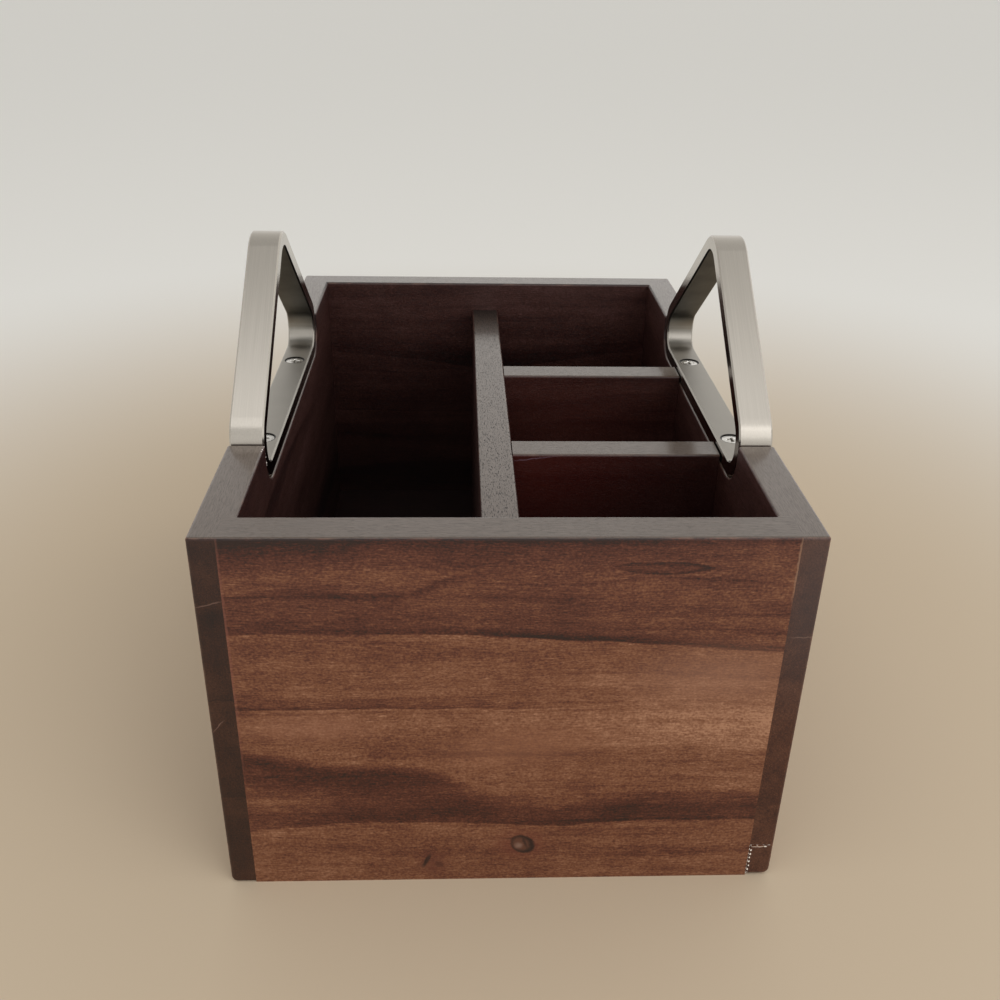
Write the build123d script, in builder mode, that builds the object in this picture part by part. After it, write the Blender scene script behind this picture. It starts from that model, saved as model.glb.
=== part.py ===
from build123d import *
from math import atan2, tan
import os

os.makedirs("parts", exist_ok=True)

# A wooden utensil caddy: an open box with four compartments, a shallow drawer
# in its base that slides out to the right, and two stainless steel loop
# handles let into the tops of the side walls.
# Frame: origin at the middle of the footprint on the table, X across the
# front, -Y towards the front, +Z up. All sizes are in millimetres.

# ---------------------------------------------------------------- case
case_width = 200.0
case_depth = 290.0
case_height = 146.0
side_wall = 13.5
end_wall = 14.0
side_lip = 9.0            # what a side panel shows beside the end panel let into it
corner_round = 1.2        # upright outer corners
foot_round = 2.5          # lower outer edges of the side walls
rim_round = 1.0           # eased edges along the rim and the handle notches

# ---------------------------------------------------------------- floor and dividers
bay_height = 15.3         # clear height under the floor, where the drawer lives
floor_thickness = 5.2
floor_groove = 4.5        # how deep the floor is let into the walls
rim_to_divider = 14.6
main_divider_wall = 13.5
main_divider_offset = -2.0
cross_divider_wall = 13.5
front_cell = 77.0         # clear depth of the front right compartment
middle_cell = 72.0        # clear depth of the middle right compartment
housing_depth = 4.0       # tongues of the dividers in their housings
housing_stop = 6.0        # each tongue stops this far under the divider's top

# ---------------------------------------------------------------- handles
bar_width = 12.5
bar_thickness = 6.0
bar_edge_break = 0.6      # long edges of the bar, broken with a narrow flat
handle_length = 153.0
notch_depth = 18.0
knee_above_rim = 4.0      # where an upright and a sloping leg would meet
apex_above_rim = 62.5     # where the two sloping legs would meet
base_inside_bend = 7.5
knee_inside_bend = 8.0
apex_inside_bend = 10.0
leg_straight = 0.5        # least straight length between the two bends of an upright leg
notch_clearance = 0.5     # between the bar and either end of its notch
notch_bend_less = 1.0     # how much tighter the notch's lower corners are than the bar's bend
screw_spacing = 88.0
screw_head = 8.0
screw_shank = 4.0
screw_length = 25.0
screw_sunk = 0.3          # how far each head lies under the bar's face
screw_slot = 1.1
screw_slot_length = 4.4
screw_slot_depth = 1.6
screw_hole_clearance = 0.1

# ---------------------------------------------------------------- drawer
drawer_above_table = 0.5
drawer_top_gap = 0.5
drawer_lip_gap = 0.4
drawer_side_gap = 0.8
drawer_back_gap = 2.5
drawer_side_wall = 10.0
drawer_back_wall = 9.0
drawer_floor = 3.0
drawer_floor_rabbet = 4.0
drawer_side_lap = 3.0     # how deep the sides lap into the drawer's front and back
runner_height = 5.0
runner_width = 7.8
runner_let_in = 3.0
runner_bottom = 5.6
runner_play = 0.3         # between runner and groove, above, below and at its tip
runner_front_gap = 1.0
pull_length = 60.0
pull_height = 8.0
pull_depth = 6.0
pull_round = 0.8

# ---------------------------------------------------------------- worked out from them
half_width = case_width / 2
half_depth = case_depth / 2
inner_x = half_width - side_wall
inner_y = half_depth - end_wall
seam_x = half_width - side_lip
floor_top = bay_height + floor_thickness
floor_let_in = min(floor_groove, side_wall - side_lip)   # stays clear of the side panels' lips
divider_top = case_height - rim_to_divider
tongue_top = divider_top - housing_stop
main_left = main_divider_offset - main_divider_wall / 2
main_right = main_divider_offset + main_divider_wall / 2
front_divider_y = -inner_y + front_cell
back_divider_y = front_divider_y + cross_divider_wall + middle_cell
notch_floor = case_height - notch_depth
base_bend = base_inside_bend + bar_thickness
notch_bend = base_bend - notch_bend_less
knee_bend = knee_inside_bend + bar_thickness
apex_bend = apex_inside_bend + bar_thickness
knee_turn = atan2(handle_length / 2, apex_above_rim - knee_above_rim)
knee_z = max(case_height + knee_above_rim,
             notch_floor + base_bend + leg_straight + knee_bend * tan(knee_turn / 2))
bar_top = notch_floor + bar_thickness
handle_x = half_width - side_wall / 2
drawer_top = bay_height - drawer_top_gap
drawer_side_y = inner_y - drawer_side_gap
tray_y = drawer_side_y - drawer_side_wall
drawer_back_x = -inner_x + drawer_back_gap
tray_x = drawer_back_x + drawer_back_wall
groove_bottom = runner_bottom - runner_play
groove_top = runner_bottom + runner_height + runner_play
runner_tip_y = inner_y + runner_let_in - runner_width
groove_y = runner_tip_y - runner_play


def block(x_low, x_high, y_low, y_high, z_low, z_high, mode=Mode.ADD):
    """Box between two corners, joined to or cut from the part being built."""
    centre = ((x_low + x_high) / 2, (y_low + y_high) / 2, (z_low + z_high) / 2)
    with Locations(centre):
        Box(x_high - x_low, y_high - y_low, z_high - z_low, mode=mode)


def keep(part, name):
    """Name a finished piece and write it as its own STEP file."""
    part.label = name
    export_step(part, "parts/" + name + ".step")


# ---------------------------------------------------------------- end panels
def end_panel(name, side):
    """Front (side -1) or back (side +1) panel, let into the side panels."""
    y_outer = side * half_depth
    y_inner = side * inner_y

    def depth(y_from_inner):
        return sorted((y_inner, y_inner + side * y_from_inner))

    with BuildPart() as panel:
        block(-seam_x, seam_x, *sorted((y_inner, y_outer)), 0, case_height)
        rim = panel.edges().filter_by(Axis.X).group_by(Axis.Z)[-1].sort_by(Axis.Y)
        fillet(rim[0 if side < 0 else -1], rim_round)
        # the inner edge is eased between the side panels and square where it is let into them
        with BuildSketch(Plane.YZ.offset(-inner_x)):
            with Locations((y_inner, case_height)):
                Rectangle(2 * rim_round, 2 * rim_round)
            with Locations((y_inner + side * rim_round, case_height - rim_round)):
                Circle(rim_round, mode=Mode.SUBTRACT)
        extrude(amount=2 * inner_x, mode=Mode.SUBTRACT)
        # groove for the floor, housing for the main divider, groove for the runner
        block(-seam_x, seam_x, *depth(floor_let_in), bay_height, floor_top, Mode.SUBTRACT)
        block(main_left, main_right, *depth(housing_depth), floor_top, tongue_top, Mode.SUBTRACT)
        block(-inner_x, inner_x - runner_front_gap, *depth(runner_let_in),
              runner_bottom, runner_bottom + runner_height, Mode.SUBTRACT)
    keep(panel.part, name)


end_panel("front_panel", -1)
end_panel("back_panel", 1)


# ---------------------------------------------------------------- side panels
def side_blank(side, z_low):
    """Side wall with its handle notch, rounded corners, rabbets and screw holes."""
    with BuildPart() as blank:
        with BuildSketch(Plane.YZ.offset(side * handle_x)):
            with Locations((0, (z_low + case_height) / 2)):
                Rectangle(case_depth, case_height - z_low)
            with Locations((0, case_height)):
                Rectangle(handle_length + 2 * notch_clearance, 2 * notch_depth, mode=Mode.SUBTRACT)
        extrude(amount=side_wall / 2, both=True)
        # inner corners of the notch follow the bend of the handle
        notch_corners = blank.edges().filter_by(Axis.X).filter_by_position(
            Axis.Z, notch_floor - 0.1, notch_floor + 0.1)
        fillet(notch_corners, notch_bend)
        if z_low == 0:
            outer_edges = blank.faces().sort_by(Axis.X)[0 if side < 0 else -1].edges()
            fillet(outer_edges.filter_by(Axis.Y).sort_by(Axis.Z)[0], foot_round)
        outer_edges = blank.faces().sort_by(Axis.X)[0 if side < 0 else -1].edges()
        upright = outer_edges.filter_by(Axis.Z).filter_by_position(Axis.Z, z_low, notch_floor)
        fillet(upright, corner_round)
        # rim and notch edges, eased in one go so that they meet in round corners
        rim = blank.edges().filter_by(lambda edge: edge.center().Z > notch_floor - 0.1)
        fillet(rim, rim_round)
        # rabbets for the end panels
        for end in (-1, 1):
            block(*sorted((side * inner_x, side * seam_x)), *sorted((end * inner_y, end * half_depth)),
                  z_low, case_height, Mode.SUBTRACT)
        # pilot holes of the handle screws
        with Locations(*[(side * handle_x, y, notch_floor)
                         for y in (-screw_spacing / 2, screw_spacing / 2)]):
            Hole((screw_shank + screw_hole_clearance) / 2, screw_length)
    return blank.part


with BuildPart() as left_side_panel:
    add(side_blank(-1, 0))
    # the floor lies in a groove
    block(-inner_x - floor_let_in, -inner_x, -inner_y, inner_y, bay_height, floor_top, Mode.SUBTRACT)
keep(left_side_panel.part, "left_side_panel")

with BuildPart() as right_side_panel:
    add(side_blank(1, bay_height))
    # the floor lies in a rabbet along the lower edge, above the drawer
    block(inner_x, inner_x + floor_let_in, -inner_y, inner_y, bay_height, floor_top, Mode.SUBTRACT)
    for divider_y in (front_divider_y, back_divider_y):
        block(inner_x, inner_x + housing_depth, divider_y, divider_y + cross_divider_wall,
              floor_top, tongue_top, Mode.SUBTRACT)
keep(right_side_panel.part, "right_side_panel")


# ---------------------------------------------------------------- floor and dividers
with BuildPart() as floor_panel:
    block(-inner_x - floor_let_in, inner_x + floor_let_in,
          -inner_y - floor_let_in, inner_y + floor_let_in, bay_height, floor_top)
keep(floor_panel.part, "floor_panel")

with BuildPart() as main_divider:
    block(main_left, main_right, -inner_y, inner_y, floor_top, divider_top)
    fillet(main_divider.edges().filter_by(Axis.Y).group_by(Axis.Z)[-1], rim_round)
    block(main_left, main_right, -inner_y - housing_depth, inner_y + housing_depth,
          floor_top, tongue_top)
    for divider_y in (front_divider_y, back_divider_y):
        block(main_right - housing_depth, main_right, divider_y, divider_y + cross_divider_wall,
              floor_top, tongue_top, Mode.SUBTRACT)
keep(main_divider.part, "main_divider")


def cross_divider(name, divider_y):
    """Short wall from the main divider to the right side panel."""
    with BuildPart() as divider:
        block(main_right, inner_x, divider_y, divider_y + cross_divider_wall, floor_top, divider_top)
        fillet(divider.edges().filter_by(Axis.X).group_by(Axis.Z)[-1], rim_round)
        block(main_right - housing_depth, inner_x + housing_depth,
              divider_y, divider_y + cross_divider_wall, floor_top, tongue_top)
    keep(divider.part, name)


cross_divider("front_cross_divider", front_divider_y)
cross_divider("back_cross_divider", back_divider_y)


# ---------------------------------------------------------------- handles
def handle(name, side):
    """Flat bar bent into a closed five-sided loop that stands in the notch."""
    half_length = handle_length / 2
    corners = [(-half_length, notch_floor), (-half_length, knee_z),
               (0, case_height + apex_above_rim), (half_length, knee_z), (half_length, notch_floor)]
    with BuildPart() as bar:
        with BuildSketch(Plane.YZ.offset(side * handle_x)) as loop:
            with BuildLine():
                Polyline(*corners, close=True)
            make_face()
            fillet(loop.vertices().sort_by(Axis.Y)[-1], apex_bend)
            knees = loop.vertices().filter_by_position(Axis.Y, knee_z - 0.1, knee_z + 0.1)
            fillet(knees, knee_bend)
            fillet(loop.vertices().group_by(Axis.Y)[0], base_bend)
            offset(amount=-bar_thickness, mode=Mode.SUBTRACT)
        extrude(amount=bar_width / 2, both=True)
        long_edges = bar.faces().sort_by(Axis.X)[0].edges() + bar.faces().sort_by(Axis.X)[-1].edges()
        chamfer(long_edges, bar_edge_break)
        # countersunk holes in the bottom leg
        with Locations(*[(side * handle_x, y, bar_top)
                         for y in (-screw_spacing / 2, screw_spacing / 2)]):
            CounterSinkHole((screw_shank + screw_hole_clearance) / 2,
                            screw_head / 2 + screw_sunk + screw_hole_clearance,
                            depth=bar_thickness, counter_sink_angle=90)
    keep(bar.part, name)


def handle_screws(name, side):
    """Two countersunk cross-head screws through the bottom leg of one handle."""
    head_z = bar_top - screw_sunk
    cone_height = (screw_head - screw_shank) / 2
    tip_height = screw_shank / 2
    profile = [(0, head_z), (screw_head / 2, head_z), (screw_shank / 2, head_z - cone_height),
               (screw_shank / 2, head_z - screw_length + tip_height), (0, head_z - screw_length)]
    with BuildPart() as screws:
        for y in (-screw_spacing / 2, screw_spacing / 2):
            axis_plane = Plane(origin=(side * handle_x, y, 0), x_dir=(1, 0, 0), z_dir=(0, -1, 0))
            with BuildSketch(axis_plane):
                with BuildLine():
                    Polyline(*profile, close=True)
                make_face()
            revolve(axis=Axis((side * handle_x, y, 0), (0, 0, 1)))
        with BuildSketch(Plane.XY.offset(head_z)):
            with Locations(*[(side * handle_x, y) for y in (-screw_spacing / 2, screw_spacing / 2)]):
                Rectangle(screw_slot, screw_slot_length)
                Rectangle(screw_slot_length, screw_slot)
        extrude(amount=-screw_slot_depth, taper=15, mode=Mode.SUBTRACT)
    keep(screws.part, name)


for handle_name, handle_side in (("left", -1), ("right", 1)):
    handle(handle_name + "_handle", handle_side)
    handle_screws(handle_name + "_handle_screws", handle_side)


# ---------------------------------------------------------------- drawer runners
def runner(name, side):
    """Hardwood strip glued into an end panel, which carries one drawer side."""
    with BuildPart() as strip:
        block(-inner_x, inner_x - runner_front_gap,
              *sorted((side * runner_tip_y, side * (inner_y + runner_let_in))),
              runner_bottom, runner_bottom + runner_height)
    keep(strip.part, name)


runner("front_drawer_runner", -1)
runner("back_drawer_runner", 1)


# ---------------------------------------------------------------- drawer
with BuildPart() as drawer_front:
    # the lowest strip of the right side wall
    block(inner_x, half_width, -half_depth, half_depth, drawer_above_table, drawer_top)
    outer_edges = drawer_front.faces().sort_by(Axis.X)[-1].edges()
    fillet(outer_edges.filter_by(Axis.Y).sort_by(Axis.Z)[0], foot_round)
    outer_edges = drawer_front.faces().sort_by(Axis.X)[-1].edges()
    fillet(outer_edges.filter_by(Axis.Z), corner_round)
    # finger pull routed into the outer face, half-way up its flat part
    with BuildSketch(Plane.YZ.offset(half_width)):
        with Locations((0, (drawer_above_table + foot_round + drawer_top) / 2)):
            SlotOverall(pull_length, pull_height)
    extrude(amount=-pull_depth, mode=Mode.SUBTRACT)
    pull_rim = drawer_front.faces().filter_by(Axis.X).sort_by(Axis.X)[-1].inner_wires()[0].edges()
    fillet(pull_rim, pull_round)
    for end in (-1, 1):
        # the lips pass in front of the end panels
        block(inner_x, seam_x + drawer_lip_gap, *sorted((end * drawer_side_y, end * half_depth)),
              drawer_above_table, drawer_top, Mode.SUBTRACT)
        # the drawer sides lap into the corners
        block(inner_x, inner_x + drawer_side_lap, *sorted((end * tray_y, end * drawer_side_y)),
              drawer_above_table, drawer_top, Mode.SUBTRACT)
    block(inner_x, inner_x + drawer_floor_rabbet, -tray_y - drawer_floor_rabbet,
          tray_y + drawer_floor_rabbet, drawer_above_table, drawer_above_table + drawer_floor,
          Mode.SUBTRACT)
keep(drawer_front.part, "drawer_front")


def drawer_side(name, side):
    """Drawer side with its runner groove, plowed from the back end."""
    with BuildPart() as board:
        block(drawer_back_x, inner_x + drawer_side_lap,
              *sorted((side * tray_y, side * drawer_side_y)), drawer_above_table, drawer_top)
        block(drawer_back_x, inner_x, *sorted((side * groove_y, side * drawer_side_y)),
              groove_bottom, groove_top, Mode.SUBTRACT)
        block(drawer_back_x, tray_x, *sorted((side * tray_y, side * (tray_y + drawer_side_lap))),
              drawer_above_table, drawer_top, Mode.SUBTRACT)
        block(drawer_back_x, inner_x + drawer_side_lap,
              *sorted((side * tray_y, side * (tray_y + drawer_floor_rabbet))),
              drawer_above_table, drawer_above_table + drawer_floor, Mode.SUBTRACT)
    keep(board.part, name)


drawer_side("drawer_side_front", -1)
drawer_side("drawer_side_back", 1)

with BuildPart() as drawer_back:
    block(drawer_back_x, tray_x, -tray_y - drawer_side_lap, tray_y + drawer_side_lap,
          drawer_above_table, drawer_top)
    block(tray_x - drawer_floor_rabbet, tray_x, -tray_y - drawer_side_lap, tray_y + drawer_side_lap,
          drawer_above_table, drawer_above_table + drawer_floor, Mode.SUBTRACT)
keep(drawer_back.part, "drawer_back")

with BuildPart() as drawer_bottom:
    block(tray_x - drawer_floor_rabbet, inner_x + drawer_floor_rabbet,
          -tray_y - drawer_floor_rabbet, tray_y + drawer_floor_rabbet,
          drawer_above_table, drawer_above_table + drawer_floor)
keep(drawer_bottom.part, "drawer_bottom")
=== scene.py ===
import math

import bmesh
import bpy
import numpy as np
from mathutils import Matrix, Vector


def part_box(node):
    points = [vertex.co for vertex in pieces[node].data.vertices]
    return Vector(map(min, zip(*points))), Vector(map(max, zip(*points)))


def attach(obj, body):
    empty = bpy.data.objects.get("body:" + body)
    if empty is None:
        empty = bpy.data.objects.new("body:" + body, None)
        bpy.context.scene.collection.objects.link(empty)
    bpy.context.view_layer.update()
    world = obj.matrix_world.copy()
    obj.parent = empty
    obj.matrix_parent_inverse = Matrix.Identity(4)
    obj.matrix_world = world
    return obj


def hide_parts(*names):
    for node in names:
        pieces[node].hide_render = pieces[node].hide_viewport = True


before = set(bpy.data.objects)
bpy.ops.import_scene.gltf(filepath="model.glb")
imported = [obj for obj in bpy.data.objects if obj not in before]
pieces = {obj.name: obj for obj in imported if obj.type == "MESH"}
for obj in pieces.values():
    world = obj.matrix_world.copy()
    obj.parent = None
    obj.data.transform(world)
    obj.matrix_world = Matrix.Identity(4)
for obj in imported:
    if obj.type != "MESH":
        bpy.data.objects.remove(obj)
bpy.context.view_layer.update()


# ------------------------------------------------------------------ end panels
# The front and back boards of the case: planed acacia, glued up from strips,
# stained red-brown and sprayed with satin lacquer. Their ends are glued into
# rabbets of the side panels, so only a thin seam shows at each end.

mm = 0.001
inner_x = -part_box("left_side_panel")[1][0]
inner_y = -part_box("front_panel")[1][1]
half_depth = -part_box("front_panel")[0][1]
seam_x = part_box("front_panel")[1][0]
case_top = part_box("front_panel")[1][2]
floor_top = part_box("floor_panel")[1][2]


def linear(hex_colour):
    """sRGB hex to linear red, green, blue, 1: the curve of the sRGB standard, undone."""
    srgb = np.array([int(hex_colour[i:i + 2], 16) for i in (1, 3, 5)]) / 255
    return (*np.where(srgb > 0.04045, ((srgb + 0.055) / 1.055) ** 2.4, srgb / 12.92), 1.0)


def add(tree, kind, sockets=None, stops=(), points=(), **settings):
    """Adds one shader node with its settings. A socket's value is a number or an output to
    link, stops are a ramp's (place, hex colour) pairs and points are a curve's (x, y) pairs."""
    made = tree.nodes.new("ShaderNode" + kind)
    for key, value in settings.items():
        setattr(made, key, value)
    for key, value in (sockets or {}).items():
        if isinstance(value, bpy.types.NodeSocket):
            tree.links.new(value, made.inputs[key])
        else:
            made.inputs[key].default_value = value
    for place, colour in stops[2:]:
        made.color_ramp.elements.new(place)
    for element, (place, colour) in zip(made.color_ramp.elements if stops else (), stops):
        element.position = place
        element.color = linear(colour)
    for x, y in points[1:-1]:
        made.mapping.curves[0].points.new(x, y)
    if points:
        made.mapping.curves[0].points[0].location = points[0]
        made.mapping.curves[0].points[-1].location = points[-1]
        for point in made.mapping.curves[0].points:
            point.handle_type = "AUTO_CLAMPED"
        made.mapping.update()
    return made


def new_material(name, **surface):
    """A material with one Principled shader, whose sockets are set by their names."""
    material = bpy.data.materials.new(name)
    material.use_nodes = True
    shader = material.node_tree.nodes["Principled BSDF"]
    for key, value in surface.items():
        shader.inputs[key.replace("_", " ")].default_value = value
    return material, material.node_tree, shader


def paint(material, *nodes):
    """Gives CAD nodes this material in their one slot."""
    for node in nodes:
        pieces[node].data.materials.clear()
        pieces[node].data.materials.append(material)


# Red-brown stain on acacia: dark in the late wood and the pores, tan on the light bands.
stain_tones = [(0.0, "#220b05"), (0.22, "#451a0d"), (0.42, "#5d3020"), (0.6, "#76482f"),
               (0.78, "#8b5e45"), (1.0, "#aa7c60")]
# Layers of the grain: name, mm along and across the grain, fractal detail, and whether
# the layer bends with the slow drift of the grain. Real pores are 0.1 to 0.2 mm wide; the
# pores, flecks and speckle are drawn as coarse as they need to be to show. The last two
# sway the veins and pick the patches of lighter edge, wear with a painted highlight.
grain_layers = (("growth", 230, 15, 3.0, True), ("bands", 90, 5.5, 2.0, True),
                ("streaks", 110, 2.2, 2.0, True), ("fibres", 5.5, 0.36, 1.0, True),
                ("flecks", 3.2, 0.4, 0.0, True), ("pores", 1.8, 0.28, 0.0, True),
                ("speckle", 0.9, 0.7, 1.0, True),
                ("shimmer", 9, 7, 2.0, True), ("blotches", 38, 20, 2.0, False),
                ("wobble", 20, 2.6, 2.0, False), ("edge_patches", 9, 7, 2.0, False))


def stained_acacia(name, turn, shift, veins=(), marks=(), lighter=0.0, end_grain="#7c6c66",
                   rim=0.0):
    """Planed acacia under stain and satin lacquer, with its grain along the local X that
    turn gives. The eye sees long soft bands, fine dark pores and a satin sheen. The tone is
    the sum of noises stretched along the grain and of listed veins, through a ramp of
    stain colours; marks are ellipses laid over it. End grain drinks more stain and is
    darker. Inside the compartments a painted shade darkens the wood, most near the floor,
    and rounded edges are lighter in patches, wear with a painted highlight. On a rim thick
    lacquer lies over dark wood, with a painted grey sheen for its colour, and open pores
    break it by the share that rim gives; the far end of the main divider gets painted shade."""
    material, tree, shader = new_material(name, IOR=1.5, Coat_Roughness=0.14)
    place = add(tree, "TexCoord")
    world = add(tree, "SeparateXYZ", {"Vector": place.outputs["Object"]})
    # local is in millimetres, with the grain along its X
    local = add(tree, "Mapping", {"Vector": place.outputs["Object"], "Location": shift,
                                  "Rotation": turn, "Scale": (1000, 1000, 1000)}).outputs[0]
    # the grain drifts sideways in slow waves
    wave_long, wave_across, drift_reach = 150, 38, 16
    scaled = add(tree, "VectorMath", {0: local, 1: (1 / wave_long, 1 / wave_across, 1 / wave_across)},
                 operation="MULTIPLY")
    drift = add(tree, "TexNoise", {"Vector": scaled.outputs[0], "Scale": 1.0, "Detail": 1.0})
    drift = add(tree, "VectorMath", {0: drift.outputs["Color"], 1: (0.5, 0.5, 0.5)},
                operation="SUBTRACT")
    bent = add(tree, "VectorMath", {0: drift.outputs[0], 1: (0, drift_reach, drift_reach), 2: local},
               operation="MULTIPLY_ADD").outputs[0]
    layers = {}
    for layer, along, across, detail, bends in grain_layers:
        scaled = add(tree, "VectorMath", {0: bent if bends else local,
                                          1: (1 / along, 1 / across, 1 / across)},
                     operation="MULTIPLY")
        layers[layer] = add(tree, "TexNoise", {"Vector": scaled.outputs[0], "Scale": 1.0,
                                               "Detail": detail}).outputs["Fac"]
    # pores, flecks and streaks are the peaks of their noises only
    for layer, low, high in (("pores", 0.6, 0.72), ("flecks", 0.62, 0.76), ("streaks", 0.56, 0.76)):
        layers[layer] = add(tree, "MapRange", {"Value": layers[layer], "From Min": low,
                                               "From Max": high}).outputs["Result"]
    # the other layers swing about the middle tone
    gains = (("growth", 0.6), ("bands", 0.36), ("blotches", 0.3), ("fibres", 0.38),
             ("speckle", 0.62), ("shimmer", 0.24))
    middle_tone = 0.55
    tone = middle_tone + lighter - 0.5 * sum(gain for layer, gain in gains)
    for layer, gain in (*gains, ("streaks", -0.16), ("pores", -0.12), ("flecks", 0.14)):
        tone = add(tree, "Math", {0: layers[layer], 1: gain, 2: tone},
                   operation="MULTIPLY_ADD").outputs[0]

    # a vein: its line along the board, how far it fades upwards and downwards in mm, its
    # strength along the board, darker below 0 and lighter above; all veins sway a little
    if veins:
        sway_reach = 2.2 * mm
        axis, reach = ("X", seam_x) if turn[2] == 0 else ("Y", half_depth)
        along = add(tree, "MapRange", {"Value": world.outputs[axis], "From Min": -reach,
                                       "From Max": reach}).outputs["Result"]
        sway = add(tree, "Math", {0: layers["wobble"], 1: sway_reach, 2: -0.5 * sway_reach},
                   operation="MULTIPLY_ADD").outputs[0]
        height = add(tree, "Math", {0: sway, 1: world.outputs["Z"]}, operation="ADD").outputs[0]
        height = add(tree, "Math", {0: height, 1: case_top}, operation="DIVIDE").outputs[0]
    for line, above, below, strength in veins:
        line = [((x * mm / reach + 1) / 2, z * mm / case_top) for x, z in line]
        strength = [((x * mm / reach + 1) / 2, (value + 1) / 2) for x, value in strength]
        line = add(tree, "FloatCurve", {"Value": along}, points=line).outputs[0]
        gap = add(tree, "Math", {0: height, 1: line}, operation="SUBTRACT").outputs[0]
        weight = add(tree, "FloatCurve", {"Value": along}, points=strength).outputs[0]
        weight = add(tree, "Math", {0: weight, 1: 2.0, 2: -1.0},
                     operation="MULTIPLY_ADD").outputs[0]
        for far in (above, -below):
            fade = add(tree, "MapRange", {"Value": gap, "From Min": far * mm / case_top,
                                          "From Max": 0.0}, interpolation_type="SMOOTHSTEP")
            weight = add(tree, "Math", {0: weight, 1: fade.outputs["Result"]},
                         operation="MULTIPLY").outputs[0]
        tone = add(tree, "Math", {0: tone, 1: weight}, operation="ADD").outputs[0]
    colour = add(tree, "ValToRGB", {"Fac": tone}, stops=stain_tones).outputs["Color"]

    facing = add(tree, "VectorMath", {0: place.outputs["Normal"]}, operation="ABSOLUTE").outputs[0]
    facing = add(tree, "SeparateXYZ", {"Vector": facing})
    end = add(tree, "MapRange", {"Value": facing.outputs["X" if turn[2] == 0 else "Y"],
                                 "From Min": 0.3, "From Max": 0.8}).outputs["Result"]
    colour = add(tree, "Mix", {0: end, 6: colour, 7: linear(end_grain)}, data_type="RGBA",
                 blend_type="MULTIPLY").outputs[2]

    # a mark, on the faces towards Y: its middle and radii in mm, its lean (mm sideways for each
    # mm up), colour, softness and strength; a noise frays all their outlines
    if marks:
        fray = 1.1
        ragged = add(tree, "TexNoise", {"Vector": local, "Scale": 0.45, "Detail": 2.0})
        frayed = add(tree, "VectorMath", {0: ragged.outputs["Color"],
                                          1: (fray * mm, 0, fray * mm),
                                          2: place.outputs["Object"]}, operation="MULTIPLY_ADD")
        frayed = add(tree, "SeparateXYZ", {"Vector": frayed.outputs[0]})
    for x, z, wide, high, lean, shade, soft, strength in marks:
        rise = add(tree, "Math", {0: frayed.outputs["Z"], 1: (z + 0.5 * fray) * mm},
                   operation="SUBTRACT").outputs[0]
        side = add(tree, "Math", {0: frayed.outputs["X"], 1: (x + 0.5 * fray) * mm},
                   operation="SUBTRACT").outputs[0]
        side = add(tree, "Math", {0: rise, 1: -lean, 2: side},
                   operation="MULTIPLY_ADD").outputs[0]
        away = add(tree, "CombineXYZ", {"X": side, "Z": rise}).outputs[0]
        away = add(tree, "VectorMath", {0: away, 1: (1 / (wide * mm), 0, 1 / (high * mm))},
                   operation="MULTIPLY").outputs[0]
        away = add(tree, "VectorMath", {0: away}, operation="LENGTH").outputs["Value"]
        cover = add(tree, "MapRange", {"Value": away, "From Min": 1 + soft, "From Max": 1 - soft,
                                       "To Max": strength}, interpolation_type="SMOOTHSTEP")
        cover = add(tree, "Math", {0: cover.outputs["Result"], 1: facing.outputs["Y"]},
                    operation="MULTIPLY").outputs[0]
        colour = add(tree, "Mix", {0: cover, 6: colour, 7: linear(shade)},
                     data_type="RGBA").outputs[2]

    # painted shade inside the compartments, up over the rounded rim: darker and more purple,
    # most of all near the floor
    rounding = 1.1 * mm
    deep = add(tree, "MapRange", {"Value": world.outputs["Z"], "From Min": floor_top,
                                  "From Max": case_top - 20 * mm})
    inside_shade = add(tree, "ValToRGB", {"Fac": deep.outputs["Result"]},
                stops=[(0.0, "#56464d"), (1.0, "#8c88ac")])
    sides = add(tree, "VectorMath", {0: place.outputs["Object"],
                                     1: (1 / (inner_x + rounding), 1 / (inner_y + rounding), 0)},
                operation="MULTIPLY").outputs[0]
    sides = add(tree, "VectorMath", {0: sides}, operation="ABSOLUTE").outputs[0]
    sides = add(tree, "SeparateXYZ", {"Vector": sides})
    inside = add(tree, "Math", {0: sides.outputs["X"], 1: sides.outputs["Y"]}, operation="MAXIMUM")
    inside = add(tree, "Math", {0: inside.outputs[0], 1: 1.0}, operation="LESS_THAN")
    above = add(tree, "Math", {0: world.outputs["Z"], 1: floor_top - 0.5 * mm},
                operation="GREATER_THAN")
    inside = add(tree, "Math", {0: inside.outputs[0], 1: above.outputs[0]},
                 operation="MULTIPLY").outputs[0]
    colour = add(tree, "Mix", {0: inside, 6: colour, 7: inside_shade.outputs["Color"]}, data_type="RGBA",
                 blend_type="MULTIPLY").outputs[2]
    # on the faces that look up, a thick coat of lacquer, broken by the pores, with a painted grey
    # sheen for its colour
    if rim:
        up = add(tree, "MapRange", {"Value": facing.outputs["Z"], "From Min": 0.6,
                                    "From Max": 0.95}).outputs["Result"]
        lacquer_and_sheen = add(tree, "Math", {0: layers["pores"], 1: -rim, 2: 1.0},
                   operation="MULTIPLY_ADD").outputs[0]
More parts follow.
